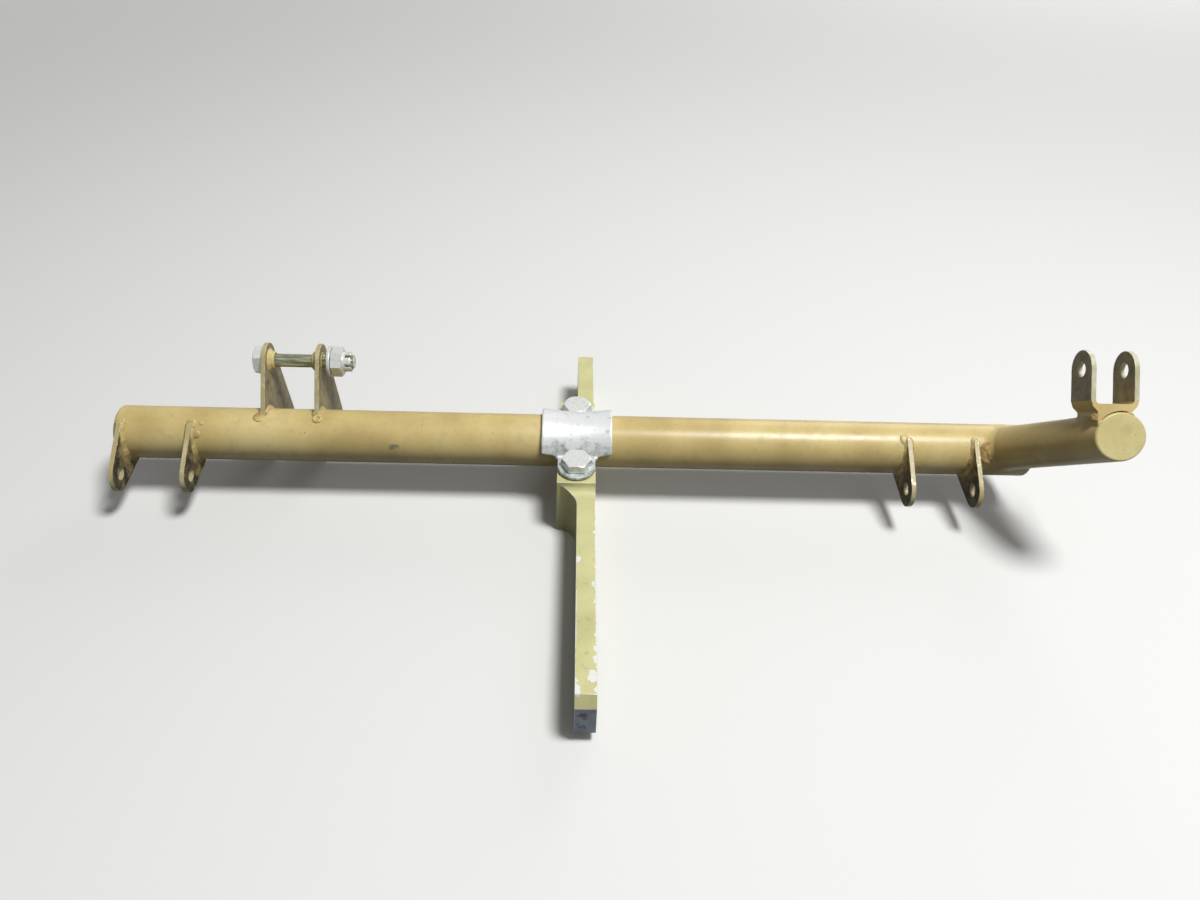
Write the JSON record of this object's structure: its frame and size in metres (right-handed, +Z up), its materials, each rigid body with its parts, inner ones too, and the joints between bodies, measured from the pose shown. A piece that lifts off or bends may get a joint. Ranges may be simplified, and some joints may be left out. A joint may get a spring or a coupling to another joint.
{
  "type": "aileron control jackshaft",
  "caption": "Welded steel torque shaft with pin lugs, twin crank plates and an angled clevis arm, held in a capped bearing on a support arm.",
  "frame": {"origin": "on the support arm's flat foot, under the hinge line, at the middle of the bearing", "axes": "+X along the shaft towards the side arm, +Z up from the foot, -Y towards the long end of the support arm"},
  "size_m": [0.3466, 0.1737, 0.0793],
  "materials": {
    "shaft_paint": "satin golden-tan bronze paint over welded steel",
    "arm_paint": "khaki-olive paint, chipped to bare metal along the edges",
    "cap_metal": "bright silver, lightly pitted",
    "plated_steel": "pale satin plating"
  },
  "bodies": {
    "bracket": {"support_arm": "arm_paint", "bearing_cap": "cap_metal", "front_cap_bolt": "plated_steel", "rear_cap_bolt": "plated_steel"},
    "shaft": {"main_tube": "shaft_paint", "left_end_disc": "shaft_paint", "right_end_disc": "shaft_paint", "left_outer_lug": "shaft_paint", "left_inner_lug": "shaft_paint", "right_inner_lug": "shaft_paint", "right_outer_lug": "shaft_paint", "left_crank_plate": "shaft_paint", "right_crank_plate": "shaft_paint", "left_crank_bush": "shaft_paint", "right_crank_bush": "shaft_paint", "side_arm_tube": "shaft_paint", "side_arm_disc": "shaft_paint", "end_clevis": "shaft_paint"},
    "bolt": {"clevis_bolt": "plated_steel", "clevis_washer": "plated_steel", "slotted_nut": "plated_steel"}
  },
  "joints": [
    {"name": "shaft_rotation", "type": "hinge", "parent": "bracket", "child": "shaft", "pos_m": [0, 0, 0.0226], "axis": [1, 0, 0], "range_deg": [-25, 25]},
    {"name": "clevis_bolt_spin", "type": "hinge", "parent": "shaft", "child": "bolt", "pos_m": [-0.1033, 0.01609, 0.04434], "axis": [1, 0, 0], "continuous": true}
  ]
}
